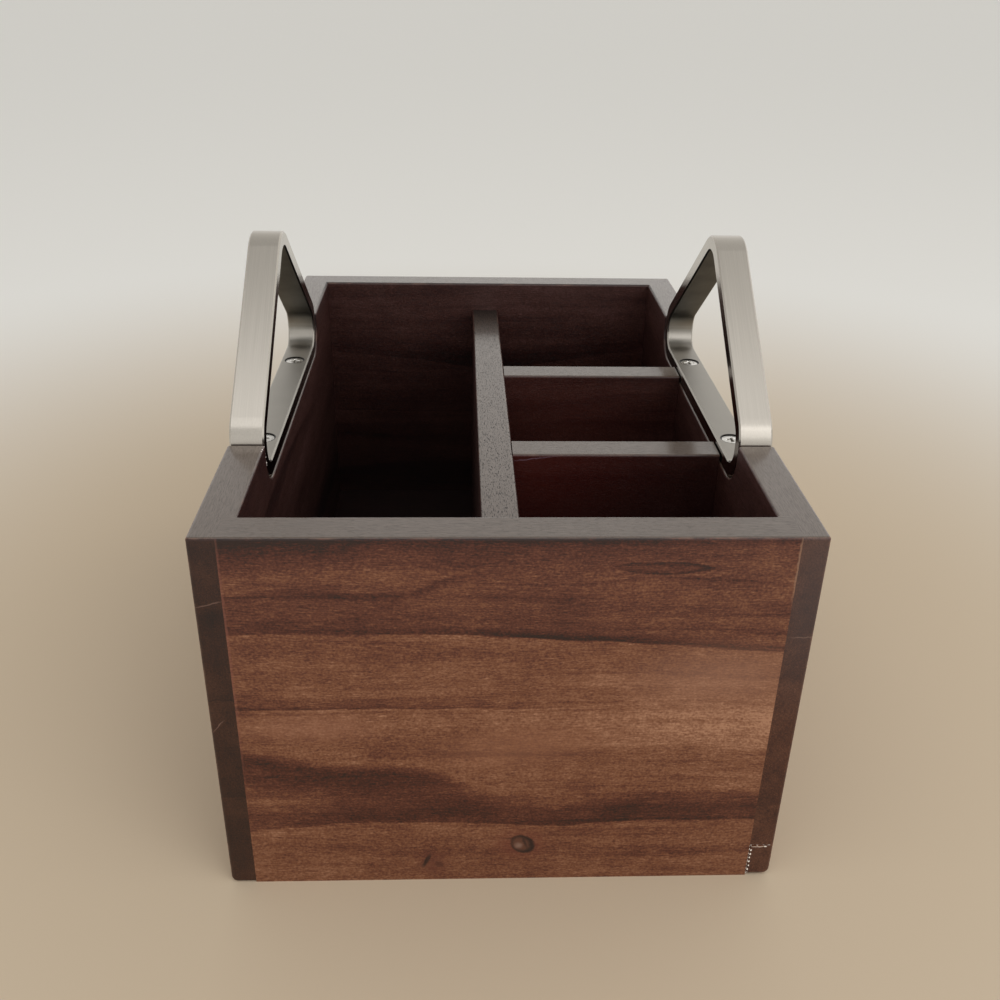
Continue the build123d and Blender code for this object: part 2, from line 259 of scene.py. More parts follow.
        # painted shade: on the faces that look up inside the case, towards the back, less of the
        # lacquer coat and its painted sheen, which darkens the far end of the main divider
        thin = add(tree, "MapRange", {"Value": world.outputs["Y"], "From Min": inner_y - 58 * mm,
                                      "From Max": inner_y - 2 * mm, "To Max": 0.85})
        thin = add(tree, "Math", {0: thin.outputs["Result"], 1: inside},
                   operation="MULTIPLY").outputs[0]
        lacquer_and_sheen = add(tree, "Math", {0: lacquer_and_sheen, 1: thin}, operation="SUBTRACT",
                   use_clamp=True).outputs[0]
        # the painted sheen: the grey that the lacquer reflects, painted into the colour along the
        # fibres
        painted_sheen = add(tree, "ValToRGB", {"Fac": layers["fibres"]},
                   stops=[(0.2, "#46372c"), (0.8, "#5b4a3e")])
        painted_sheen = add(tree, "Mix", {0: lacquer_and_sheen, 6: linear("#100b09"), 7: painted_sheen.outputs["Color"]},
                   data_type="RGBA").outputs[2]
        colour = add(tree, "Mix", {0: up, 6: colour, 7: painted_sheen}, data_type="RGBA").outputs[2]
        lacquer_and_sheen = add(tree, "Math", {0: lacquer_and_sheen, 1: up}, operation="MULTIPLY").outputs[0]
        tree.links.new(lacquer_and_sheen, shader.inputs["Coat Weight"])

    # hands and cloths rub the stain off the rounded edges, in patches; the lighter edge there is also
    # a painted highlight
    steepest = add(tree, "Math", {0: facing.outputs["X"], 1: facing.outputs["Y"]},
                   operation="MAXIMUM")
    steepest = add(tree, "Math", {0: steepest.outputs[0], 1: facing.outputs["Z"]},
                   operation="MAXIMUM")
    edge = add(tree, "MapRange", {"Value": steepest.outputs[0], "From Min": 0.97,
                                  "From Max": 0.8})
    patch = add(tree, "MapRange", {"Value": layers["edge_patches"], "From Min": 0.52, "From Max": 0.7,
                                   "To Max": 0.3})
    edge_wear_and_highlight = add(tree, "Math", {0: edge.outputs["Result"], 1: patch.outputs["Result"]},
               operation="MULTIPLY").outputs[0]
    colour = add(tree, "Mix", {0: edge_wear_and_highlight, 6: colour, 7: linear("#8f6a55")},
                 data_type="RGBA").outputs[2]
    tree.links.new(colour, shader.inputs["Base Color"])

    # open pores sink 0.06 mm and are matt, fibres stand a little and shine
    relief = add(tree, "Math", {0: layers["pores"], 1: -0.6, 2: layers["fibres"]},
                 operation="MULTIPLY_ADD").outputs[0]
    bump = add(tree, "Bump", {"Height": relief, "Strength": 0.5, "Distance": 0.06 * mm})
    tree.links.new(bump.outputs[0], shader.inputs["Normal"])
    gloss = add(tree, "MapRange", {"Value": relief, "From Min": 0.1, "From Max": 0.7,
                                   "To Min": 0.52, "To Max": 0.34}).outputs["Result"]
    tree.links.new(gloss, shader.inputs["Roughness"])
    return material


# Veins of the front board, from its top edge down: the top edge darkened, a painted shade
# deepest at its left, with a pale patch low at its left and a darker line along it, the flame,
# the two sides and the middle of the lens-shaped streak, a fine streak, the long dark line and
# the darker wood above it, the dark and the light side of the glue seam, the light patch at the
# right, the dark diagonal band, and the lower boundary with a light line under it.
front_veins = [
    ([(-91, 146), (0, 146), (91, 146)], 1, 19,
     [(-91, -0.58), (-60, -0.46), (-30, -0.34), (20, -0.34), (60, -0.18), (91, -0.1)]),
    ([(-91, 118), (0, 118), (91, 118)], 8, 6, [(-91, 0.12), (-50, 0.08), (-26, 0), (91, 0)]),
    ([(-91, 146), (0, 146), (91, 146)], 1, 3.5, [(-91, -0.2), (0, -0.22), (91, -0.2)]),
    ([(-91, 124.6), (-70, 126.6), (-45, 124.9), (-30, 126.4), (-20, 131), (-8, 133.3), (6, 132),
      (91, 126)], 1.6, 3.5,
     [(-91, -0.12), (-60, -0.24), (-40, -0.2), (-20, -0.16), (-8, -0.14), (9, 0), (91, 0)]),
    ([(-91, 136.6), (31, 135.6), (40, 136.8), (54, 136.8), (67, 135.2), (91, 136)], 0.4, 1.6,
     [(-91, 0), (31, 0), (38, -0.3), (58, -0.34), (67, 0), (91, 0)]),
    ([(-91, 135), (31, 135.2), (38, 133.5), (48, 133.0), (58, 133.6), (68, 135.2), (91, 136)],
     1.4, 0.4, [(-91, 0), (30, 0), (36, -0.18), (47, -0.34), (60, -0.34), (69, 0), (91, 0)]),
    ([(-91, 135), (30, 135), (50, 134.8), (91, 135)], 1.8, 1.8,
     [(-91, 0), (30, 0), (40, -0.1), (60, -0.1), (69, 0), (91, 0)]),
    ([(-91, 131), (20, 130), (50, 131.5), (91, 129)], 0.5, 1.4,
     [(-91, 0), (8, 0), (24, -0.12), (60, -0.16), (84, -0.12), (91, 0)]),
    ([(-91, 111), (-51, 110.2), (-20, 110.2), (0, 109.6), (23, 107.8), (51, 106), (69, 104.2),
      (91, 103.1)], 3.5, 0.8,
     [(-91, -0.08), (-51, -0.14), (-20, -0.24), (8, -0.36), (36, -0.3), (58, -0.18), (72, -0.27),
      (91, -0.14)]),
    ([(-91, 111), (-20, 110.2), (23, 107.8), (91, 103.1)], 38, 0.8,
     [(-91, -0.2), (-40, -0.18), (0, -0.22), (91, -0.16)]),
    ([(-91, 79.9), (-36, 79.9), (18, 79.8), (91, 79.8)], 1.6, 0.3,
     [(-91, -0.2), (-20, -0.16), (12, -0.1), (30, 0), (91, 0)]),
    ([(-91, 79.8), (-36, 79.8), (18, 79.7), (91, 79.7)], 0.3, 15,
     [(-91, 0.2), (-20, 0.17), (12, 0.12), (34, 0.04), (91, 0)]),
    ([(-91, 74), (0, 74), (91, 74)], 22, 26,
     [(-91, 0), (0, 0.05), (34, 0.14), (58, 0.27), (91, 0.32)]),
    ([(-91, 58), (-78, 55), (-60, 52), (-40, 51), (-24, 48), (-10, 41), (15, 34), (91, 33)], 6, 22,
     [(-91, -0.38), (-70, -0.5), (-45, -0.48), (-28, -0.4), (-10, -0.2), (12, -0.1), (91, -0.08)]),
    ([(-91, 25.4), (-71, 27.4), (-50, 28.9), (-20, 28.6), (0, 27.4), (19, 26.7), (36, 28.1),
      (57, 28.6), (91, 28.6)], 14, 0.5,
     [(-91, -0.22), (-60, -0.26), (-20, -0.26), (10, -0.28), (40, -0.3), (91, -0.3)]),
    ([(-91, 24.5), (36, 26.3), (57, 26.6), (91, 26.4)], 0.7, 2.4,
     [(-91, 0.06), (-30, 0.06), (30, 0.05), (48, 0.16), (62, 0.1), (75, 0), (91, 0)]),
]
# Three light patches, the knot with its dark rim, paler heart and a painted highlight low at
# the left of it, the bark pocket left of it, and the worn seams at either end.
front_marks = [
    (4, 63, 22, 8, 0.9, "#956449", 0.8, 0.4),
    (72, 92, 24, 10, 0, "#ab7e66", 0.9, 0.35),
    (-66, 72, 20, 5, 0, "#8a5a44", 0.8, 0.4),
    (6.0, 17.4, 8.0, 6.0, 0.0, "#6a3324", 0.7, 0.6),
    (2.8, 20.1, 2.6, 0.6, 0.0, "#3a1a11", 0.8, 0.6),
    (6.9, 17.3, 4.3, 4.5, -0.2, "#1d0c08", 0.14, 0.95),
    (6.2, 17.4, 3.0, 3.2, -0.2, "#5a3526", 0.3, 1.0),
    (7.6, 18.2, 0.5, 2.6, -0.3, "#2a140e", 0.7, 0.8),
    (5.4, 16.6, 1.2, 1.3, 0.0, "#8a6c5e", 0.7, 0.7),
    (-26.0, 8.2, 4.8, 5.0, 0.0, "#5e2d20", 0.8, 0.6),
    (-28.2, 9.6, 0.9, 3.0, 0.4, "#2a120c", 0.5, 0.95),
    (-23.6, 7.8, 1.2, 1.3, -0.3, "#441d13", 0.7, 0.7),
    (-26.0, 5.6, 1.6, 0.9, 0.0, "#5c2a1d", 0.6, 0.6),
    (-90.7, 104.0, 0.45, 46.0, 0.0, "#7e4c3d", 0.7, 0.5),
    (90.8, 136.0, 0.35, 12.0, 0.0, "#96755f", 0.7, 0.6),
]
paint(stained_acacia("stained acacia, front board", (0, 0, 0), (310, 0, 40), veins=front_veins,
                     marks=front_marks, rim=0.25), "front_panel")
# The back board has one pale wavy scratch high up on its inner face, a dark flame, a glue
# seam with a lighter strip under it, and a soft boundary near its foot.
back_veins = [
    ([(-91, 132.6), (-75, 132.6), (-59, 130.5), (-37, 127.8), (-7, 124.6), (91, 124)], 0.35, 0.35,
     [(-91, 0), (-82, 0), (-74, 0.16), (-12, 0.13), (-4, 0), (91, 0)]),
    ([(-91, 108), (-45, 104), (0, 99), (48, 104), (91, 111)], 14, 1,
     [(-91, -0.1), (-50, -0.24), (0, -0.3), (50, -0.2), (91, -0.1)]),
    ([(-91, 72), (91, 71.5)], 0.4, 13, [(-91, 0.16), (0, 0.1), (91, 0.14)]),
    ([(-91, 72.2), (91, 71.7)], 0.7, 0.3, [(-91, -0.2), (91, -0.2)]),
    ([(-91, 35), (-30, 40), (30, 38), (91, 32)], 0.8, 15,
     [(-91, -0.26), (0, -0.18), (60, -0.26), (91, -0.2)]),
]
paint(stained_acacia("stained acacia, back board", (0, 0, 0), (-720, 55, 210), veins=back_veins,
                     rim=0.25), "back_panel")


# ------------------------------------------------------------------ side panels
# The long side boards, grain front to back. Their sawn ends show as the two
# dark strips of the front, and a notch in each top edge takes a handle.

quarter = math.radians(-90)
# Pale hairlines of glue cross the sawn ends, and a painted grey sheen covers the upper half of the
# right one.
left_marks = [(-95.5, 121.8, 0.8, 1.4, 3.3, "#8c6c5f", 0.5, 0.4),
              (-97.4, 73.0, 0.22, 2.6, 0.8, "#8c6c5f", 0.5, 0.45)]
right_marks = [(96.6, 108.2, 4.0, 0.22, 0.0, "#947364", 0.5, 0.5),
               (97.0, 126.0, 9.0, 34.0, 0.0, "#463f40", 0.9, 0.45)]
# Each board is glued up from two strips, the lower one lighter under the seam, and two dark
# bands wander along the board.
left_veins = [
    ([(-145, 118), (-70, 123), (0, 117), (60, 110), (145, 113)], 2, 11,
     [(-145, -0.14), (-70, -0.3), (10, -0.26), (80, -0.1), (145, -0.2)]),
    ([(-145, 84), (145, 83.5)], 0.7, 0.3, [(-145, -0.2), (145, -0.2)]),
    ([(-145, 83.8), (145, 83.3)], 0.3, 14, [(-145, 0.16), (0, 0.1), (145, 0.18)]),
    ([(-145, 42), (-80, 49), (-10, 51), (60, 45), (145, 38)], 17, 0.7,
     [(-145, -0.2), (-70, -0.34), (20, -0.26), (90, -0.32), (145, -0.14)]),
]
right_veins = [
    ([(-145, 97), (145, 96.4)], 34, 0.3, [(-145, -0.04), (-110, -0.16), (0, -0.1), (145, -0.2)]),
    ([(-145, 96.8), (145, 96.2)], 0.3, 16, [(-145, 0.03), (-110, 0.12), (20, 0.18), (145, 0.08)]),
    ([(-145, 72), (-90, 67), (-30, 58), (30, 55), (90, 60), (145, 67)], 5, 18,
     [(-145, -0.08), (-90, -0.3), (-20, -0.38), (50, -0.28), (105, -0.12), (145, 0)]),
    ([(-145, 35), (-70, 31), (0, 29), (70, 32), (145, 37)], 13, 0.6,
     [(-145, -0.2), (-40, -0.16), (60, -0.3), (145, -0.24)]),
]
paint(stained_acacia("stained acacia, left board", (0, 0, quarter), (90, 480, 15), veins=left_veins,
                     marks=left_marks, end_grain="#77655d", rim=0.25), "left_side_panel")
# The right board's end grain is lighter than the left's: painted light, as the light falls from the
# right.
paint(stained_acacia("stained acacia, right board", (0, 0, quarter), (-260, -350, 120),
                     veins=right_veins, marks=right_marks, end_grain="#b0a2a2", rim=0.25),
      "right_side_panel")


# ------------------------------------------------------------------ floor and dividers
# Floor board and dividers of the same wood, let into grooves and housings. The
# main divider's top is sanded through to open pores.

paint(stained_acacia("stained acacia, floor", (0, 0, 0), (150, 900, -60), lighter=-0.25),
      "floor_panel")
paint(stained_acacia("stained acacia, main divider", (0, 0, quarter), (520, -80, 300), rim=0.9),
      "main_divider")
# The front divider's face took the stain redder at its left and darker at its right, and a
# scratch runs down to its left end.
divider_marks = [(14, 124, 42, 34, 0, "#8a2c18", 0.8, 0.65),
                 (66, 106, 44, 28, 0, "#42140b", 0.8, 0.6),
                 (12.5, 129.6, 1.7, 0.95, 8.0, "#e0b8a4", 0.6, 0.7)]
paint(stained_acacia("stained acacia, front divider", (0, 0, 0), (-90, 260, 410), marks=divider_marks,
                     rim=0.25), "front_cross_divider")
# The back divider's face is redder low at its left.
paint(stained_acacia("stained acacia, back divider", (0, 0, 0), (640, -190, 530), rim=0.25,
                     marks=[(20, 108, 50, 26, 0, "#843c24", 0.8, 0.5)]), "back_cross_divider")


# ------------------------------------------------------------------ drawer
# The lowest strip of the right wall is the drawer's front. Behind it are two
# grooved sides and a back of the same wood around a thin plywood bottom, and
# beech runners glued to the case carry it.

# Where the saw chipped the lacquer off the drawer front's edges, bare wood shows as pale
# specks, which are also a painted light from the gap: one every 1.9 mm up the inner edge,
# and two along the top.
drawer_marks = [(91.75 + 0.1 * math.sin(9 * z), z, 0.3, 0.42 + 0.1 * math.sin(5 * z), 0,
                 "#fbf4ec", 0.35, 1.0) for z in np.arange(1.2, 14, 1.9)]
drawer_marks += [(94.2, 14.4, 2.4, 0.2, 0, "#d9c6b8", 0.5, 0.8),
                 (97.0, 14.4, 0.5, 0.3, 0, "#fbf4ec", 0.4, 1.0)]
# the drawer front's end grain is as light as the right board's: the same painted light from the right
paint(stained_acacia("stained acacia, drawer front", (0, 0, quarter), (-140, 730, -220),
                     marks=drawer_marks, end_grain="#b0a2a2"), "drawer_front")
paint(stained_acacia("stained acacia, drawer sides", (0, 0, 0), (830, 340, 700)),
      "drawer_side_front", "drawer_side_back")
paint(stained_acacia("stained acacia, drawer back", (0, 0, quarter), (410, -640, 90)), "drawer_back")


def pale_wood(name, turn, dark, light, ray, plies):
    """Unstained wood: figure of noises 60 x 3 mm and 5 x 0.4 mm between a dark and a light
    colour, with short darker rays over it. Where plies, their thickness in mm, isn't 0, light
    and dark plies take turns on the cut edges."""
    material, tree, shader = new_material(name, IOR=1.48)
    place = add(tree, "TexCoord")
    local = add(tree, "Mapping", {"Vector": place.outputs["Object"], "Rotation": turn,
                                  "Scale": (1000, 1000, 1000)}).outputs[0]
    fields = []
    for along, across in ((60, 3.0), (5, 0.4), (2.4, 0.3)):
        scaled = add(tree, "VectorMath", {0: local, 1: (1 / along, 1 / across, 1 / across)},
                     operation="MULTIPLY")
        noise = add(tree, "TexNoise", {"Vector": scaled.outputs[0], "Scale": 1.0})
        fields.append(noise.outputs["Fac"])
    figure = add(tree, "Math", {0: fields[1], 1: 0.5, 2: fields[0]}, operation="MULTIPLY_ADD")
    colour = add(tree, "ValToRGB", {"Fac": figure.outputs[0]},
                 stops=[(0.45, dark), (1.0, light)]).outputs["Color"]
    rays = add(tree, "MapRange", {"Value": fields[2], "From Min": 0.62, "From Max": 0.7,
                                  "To Max": 0.7})
    colour = add(tree, "Mix", {0: rays.outputs["Result"], 6: colour, 7: linear(ray)},
                 data_type="RGBA").outputs[2]
    if plies:
        height = add(tree, "SeparateXYZ", {"Vector": local}).outputs["Z"]
        layer = add(tree, "Math", {0: height, 1: plies}, operation="PINGPONG").outputs[0]
        layer = add(tree, "MapRange", {"Value": layer, "From Min": 0.45 * plies,
                                       "From Max": 0.55 * plies})
        facing = add(tree, "SeparateXYZ", {"Vector": place.outputs["Normal"]}).outputs["Z"]
        facing = add(tree, "Math", {0: facing}, operation="ABSOLUTE").outputs[0]
        cut = add(tree, "MapRange", {"Value": facing, "From Min": 0.6, "From Max": 0.3})
        cut = add(tree, "Math", {0: cut.outputs["Result"], 1: layer.outputs["Result"]},
                  operation="MULTIPLY")
        colour = add(tree, "Mix", {0: cut.outputs[0], 6: colour, 7: linear("#6d4a2c")},
                     data_type="RGBA").outputs[2]
    tree.links.new(colour, shader.inputs["Base Color"])
    bump = add(tree, "Bump", {"Height": fields[1], "Strength": 0.4, "Distance": 0.05 * mm})
    tree.links.new(bump.outputs[0], shader.inputs["Normal"])
    gloss = add(tree, "MapRange", {"Value": fields[1], "To Min": 0.62, "To Max": 0.42})
    tree.links.new(gloss.outputs["Result"], shader.inputs["Roughness"])
    return material


# Birch-faced plywood, oiled: pale and even, with its plies as lines on the cut edges.
paint(pale_wood("oiled birch plywood", (0, 0, quarter), "#a47c50", "#c6a274", "#95703f", 1.0),
      "drawer_bottom")
# Steamed beech rubbed with wax: pinkish tan with many short darker rays.
paint(pale_wood("waxed beech", (0, 0, 0), "#a97b55", "#c79b72", "#8a5d3b", 0),
      "front_drawer_runner", "back_drawer_runner")


# ------------------------------------------------------------------ raw edges
# The saw chipped the lacquer off where the drawer front was cut free of the
# side wall, and at the front end of the left notch: pale beads of bare wood.
# In the drawer's gap the beads are also a painted light, where light comes through.

def skin(name, tubes):
    """A closed mesh for each tube: rings of points, rows x columns x 3, with quads from each
    ring to the next and a fan from each end ring to the middle of that ring."""
    points, faces, start = [], [], 0
    for rings in tubes:
        rows, columns = rings.shape[:2]
        index = start + np.arange(rows * columns).reshape(rows, columns)
        beside = np.roll(index, -1, axis=1)
        quads = np.stack([index[:-1], beside[:-1], beside[1:], index[1:]], axis=-1).reshape(-1, 4)
        first, last = start + rows * columns, start + rows * columns + 1
        fans = [np.stack([np.full(columns, first), beside[0], index[0]], axis=-1),
                np.stack([np.full(columns, last), index[-1], beside[-1]], axis=-1)]
        points += [rings.reshape(-1, 3), rings[[0, -1]].mean(axis=1)]
        faces += quads.tolist() + np.concatenate(fans).tolist()
        start = last + 1
    mesh = bpy.data.meshes.new(name)
    mesh.from_pydata(np.concatenate(points).tolist(), [], faces)
    shell = bmesh.new()
    shell.from_mesh(mesh)
    bmesh.ops.recalc_face_normals(shell, faces=shell.faces)
    shell.to_mesh(mesh)
    shell.free()
    mesh.shade_smooth()
    piece = bpy.data.objects.new(name, mesh)
    bpy.context.collection.objects.link(piece)
    return piece


def beads(corners, across, thin, thick, pitch):
    """A thread of wood crumbs along a path. The path is the corners joined by straight runs;
    a ring of radius r = thin + thick * max(0, wave) is carried along it, where wave is a
    weighted mean of three sines of the way run, the first with the length pitch. The ring is
    spanned by the unit vector across and the cross product of that with the path."""
    corners = np.array(corners)
    runs = np.linalg.norm(np.diff(corners, axis=0), axis=1)
    stations = np.concatenate([[0], np.cumsum(runs)])
    s = np.linspace(0, stations[-1], int(stations[-1] / pitch * 12))
    path = np.stack([np.interp(s, stations, corners[:, axis]) for axis in range(3)], axis=1)
    ahead = np.gradient(path, axis=0)
    ahead /= np.linalg.norm(ahead, axis=1)[:, None]
    side = np.cross(ahead, across)
    turns = 2 * np.pi * s / pitch
    wave = (np.sin(turns) + 0.6 * np.sin(1.73 * turns + 1) + 0.5 * np.sin(0.61 * turns + 2)) / 2.1
    radius = thin + thick * np.maximum(wave, 0)
    angle = np.linspace(0, 2 * np.pi, 10, endpoint=False)
    spoke = (np.cos(angle)[None, :, None] * np.array(across)
             + np.sin(angle)[None, :, None] * side[:, None, :])
    return path[:, None, :] + radius[:, None, None] * spoke


# Bare acacia, torn by the saw: pale straw with darker fibres, matt because nothing seals it.
bare_wood, tree, shader = new_material("bare torn acacia", IOR=1.45)
place = add(tree, "TexCoord")
# torn fibres, 0.4 mm wide and 1.4 mm long
scaled = add(tree, "VectorMath", {0: place.outputs["Object"], 1: (2500, 700, 2500)},
             operation="MULTIPLY").outputs[0]
crumbs = add(tree, "TexNoise", {"Vector": scaled, "Scale": 1.0, "Detail": 2.0}).outputs["Fac"]
colour = add(tree, "ValToRGB", {"Fac": crumbs},
             stops=[(0.3, "#d8c2b4"), (0.5, "#f4eae2"), (0.8, "#fdfaf6")])
tree.links.new(colour.outputs["Color"], shader.inputs["Base Color"])
bump = add(tree, "Bump", {"Height": crumbs, "Strength": 0.6, "Distance": 0.1 * mm})
tree.links.new(bump.outputs[0], shader.inputs["Normal"])
gloss = add(tree, "MapRange", {"Value": crumbs, "To Min": 0.9, "To Max": 0.65})
tree.links.new(gloss.outputs["Result"], shader.inputs["Roughness"])

drawer_low, drawer_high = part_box("drawer_front")
lip_x = seam_x + 0.2 * mm              # middle of the gap beside the drawer's lip
gap_z = drawer_high[2] + 0.2 * mm      # middle of the gap above the drawer's front
face_y = drawer_low[1] + 0.36 * mm     # the largest crumb just reaches the front face
# pale beads in the drawer's gap: bare wood, and a painted light through the gap
saw_chips_and_gap_light = skin("drawer_gap_chips_and_light", [
    beads([(lip_x, face_y, drawer_low[2] + 0.3 * mm), (lip_x, face_y, gap_z)],
          across=(0, 1, 0), thin=0.03 * mm, thick=0.33 * mm, pitch=1.9 * mm),
    beads([(lip_x, face_y, gap_z), (drawer_high[0] - 1.2 * mm, face_y, gap_z)],
          across=(0, 1, 0), thin=0.06 * mm, thick=0.3 * mm, pitch=2.2 * mm)])
saw_chips_and_gap_light.data.materials.append(bare_wood)
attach(saw_chips_and_gap_light, "drawer")

chip_x = -inner_x - 0.35 * mm          # the largest chip just reaches the wall's inner face
notch_chips = skin("notch_chips", [
    beads([(chip_x - 0.15 * mm, -82.6 * mm, case_top - 0.2 * mm),
           (chip_x, -77.6 * mm, case_top - 0.5 * mm),
           (chip_x, -77.1 * mm, case_top - 4.5 * mm),
           (chip_x, -75.6 * mm, case_top - 9.0 * mm)],
          across=(1, 0, 0), thin=0.08 * mm, thick=0.28 * mm, pitch=1.5 * mm)])
notch_chips.data.materials.append(bare_wood)
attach(notch_chips, "caddy")


# ------------------------------------------------------------------ handles
# Flat stainless bar, 12.5 by 6 mm, bent into a closed loop, welded and brushed
# along its length. The inside of the loop is rougher, and painted dark as shade.

# Stainless steel 304, brushed: warm grey with fine lines along the bar. Real lines are
# 0.05 mm wide; these are 0.2 mm, the finest that a picture of the whole caddy shows.
steel, tree, shader = new_material("brushed stainless steel 304", Metallic=1.0, Anisotropic=0.75,
                                   Anisotropic_Rotation=0.25)
place = add(tree, "TexCoord")
point = place.outputs["Object"]
# the lines are 0.2 mm apart and 33 mm long; leg_normal points square out of a sloping leg
mirrored = add(tree, "VectorMath", {0: point}, operation="ABSOLUTE").outputs[0]
leg_normal = (0, 0.607, 0.794)
level = add(tree, "VectorMath", {0: mirrored, 1: leg_normal},
            operation="DOT_PRODUCT").outputs["Value"]
apart = add(tree, "SeparateXYZ", {"Vector": point})
across = add(tree, "CombineXYZ", {"X": apart.outputs["X"], "Y": level}).outputs[0]
scaled = add(tree, "VectorMath", {0: across, 1: (5000, 5000, 0)}, operation="MULTIPLY").outputs[0]
long_way = add(tree, "VectorMath", {0: point, 1: (0, 30, 30), 2: scaled},
               operation="MULTIPLY_ADD").outputs[0]
lines = add(tree, "TexNoise", {"Vector": long_way, "Scale": 1.0, "Detail": 2.0}).outputs["Fac"]
smear = add(tree, "TexNoise", {"Vector": point, "Scale": 90.0, "Detail": 2.0}).outputs["Fac"]
brushed = add(tree, "ValToRGB", {"Fac": lines},
              stops=[(0.3, "#bab4ab"), (0.7, "#c5bfb6")]).outputs["Color"]
# painted shade inside the loop: faces that look towards its middle, 30 mm above the rim
middle = (0, 0, case_top + 30 * mm)
inner_shade_and_dull = add(tree, "VectorMath", {0: middle, 1: point}, operation="SUBTRACT").outputs[0]
inner_shade_and_dull = add(tree, "VectorMath", {0: inner_shade_and_dull, 1: (0, 1, 1)}, operation="MULTIPLY").outputs[0]
inner_shade_and_dull = add(tree, "VectorMath", {0: inner_shade_and_dull, 1: place.outputs["Normal"]}, operation="DOT_PRODUCT")
inner_shade_and_dull = add(tree, "MapRange", {"Value": inner_shade_and_dull.outputs["Value"], "From Min": 2 * mm,
                                "From Max": 9 * mm})
# the painted shade is strongest on the faces of it that look down, weaker on those that look up
facing = add(tree, "SeparateXYZ", {"Vector": place.outputs["Normal"]})
shade_by_facing = add(tree, "MapRange", {"Value": facing.outputs["Z"], "From Min": -0.6, "From Max": 0.2,
                                "To Min": 1.0, "To Max": 0.3}).outputs["Result"]
inner_shade_and_dull = add(tree, "Math", {0: inner_shade_and_dull.outputs["Result"], 1: shade_by_facing},
             operation="MULTIPLY").outputs[0]
# the painted shade: a mottled dark grey
inner_shade_colour = add(tree, "ValToRGB", {"Fac": smear},
             stops=[(0.3, "#5a5a57"), (0.7, "#70706c")]).outputs["Color"]
colour = add(tree, "Mix", {0: inner_shade_and_dull, 6: brushed, 7: inner_shade_colour}, data_type="RGBA").outputs[2]
# painted shade in the countersinks round the screw heads
head_radius, head_sunk = 4.0 * mm, 0.3 * mm
screw_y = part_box("left_handle_screws")[1][1] - head_radius
bar_x = (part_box("right_handle")[0][0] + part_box("right_handle")[1][0]) / 2
bar_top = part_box("right_handle_screws")[1][2] + head_sunk
spot = add(tree, "VectorMath", {0: mirrored, 1: (bar_x, screw_y, 0)},
           operation="SUBTRACT").outputs[0]
spot = add(tree, "VectorMath", {0: spot, 1: (1, 1, 0)}, operation="MULTIPLY").outputs[0]
spot = add(tree, "VectorMath", {0: spot}, operation="LENGTH").outputs["Value"]
countersink_shade = add(tree, "MapRange", {"Value": spot, "From Min": head_radius + 0.75 * mm,
                              "From Max": head_radius + 0.5 * mm}).outputs["Result"]
low = add(tree, "Math", {0: apart.outputs["Z"], 1: bar_top + 1 * mm},
          operation="LESS_THAN").outputs[0]
countersink_shade = add(tree, "Math", {0: countersink_shade, 1: low}, operation="MULTIPLY").outputs[0]
colour = add(tree, "Mix", {0: countersink_shade, 6: colour, 7: linear("#24221f")}, data_type="RGBA").outputs[2]
tree.links.new(colour, shader.inputs["Base Color"])
gloss = add(tree, "MapRange", {"Value": lines, "To Min": 0.28, "To Max": 0.38}).outputs["Result"]
gloss = add(tree, "Math", {0: inner_shade_and_dull, 1: 0.15, 2: gloss}, operation="MULTIPLY_ADD").outputs[0]
# the bar's narrow sides come smoother from the mill
narrow = add(tree, "Math", {0: facing.outputs["X"]}, operation="ABSOLUTE").outputs[0]
gloss = add(tree, "Math", {0: narrow, 1: -0.16, 2: gloss}, operation="MULTIPLY_ADD").outputs[0]
tree.links.new(gloss, shader.inputs["Roughness"])
bump = add(tree, "Bump", {"Height": lines, "Strength": 0.15, "Distance": 0.02 * mm})
tree.links.new(bump.outputs[0], shader.inputs["Normal"])
tree.links.new(add(tree, "Tangent", axis="X").outputs[0], shader.inputs["Tangent"])
paint(steel, "left_handle", "right_handle")


# ------------------------------------------------------------------ handle screws
# Countersunk cross-head wood screws, 4 x 25 mm, of bright turned steel, driven
# through the bar's bottom leg down into the side wall.

shank_radius, core_radius, thread_pitch, screw_long = 2.0 * mm, 1.6 * mm, 1.8 * mm, 25 * mm
cross_wide, cross_long, cross_deep, cross_slope = 0.65 * mm, 2.3 * mm, 1.5 * mm, 0.3 * mm
dome_high = 0.18 * mm
# the turned profile below the head's edge, as radius and height in mm: rim, cone, shank
turned = np.array([(4.0, -0.12), (4.0, -0.4), (3.0, -1.4), (2.0, -2.4), (1.6, -7.0)]) * mm


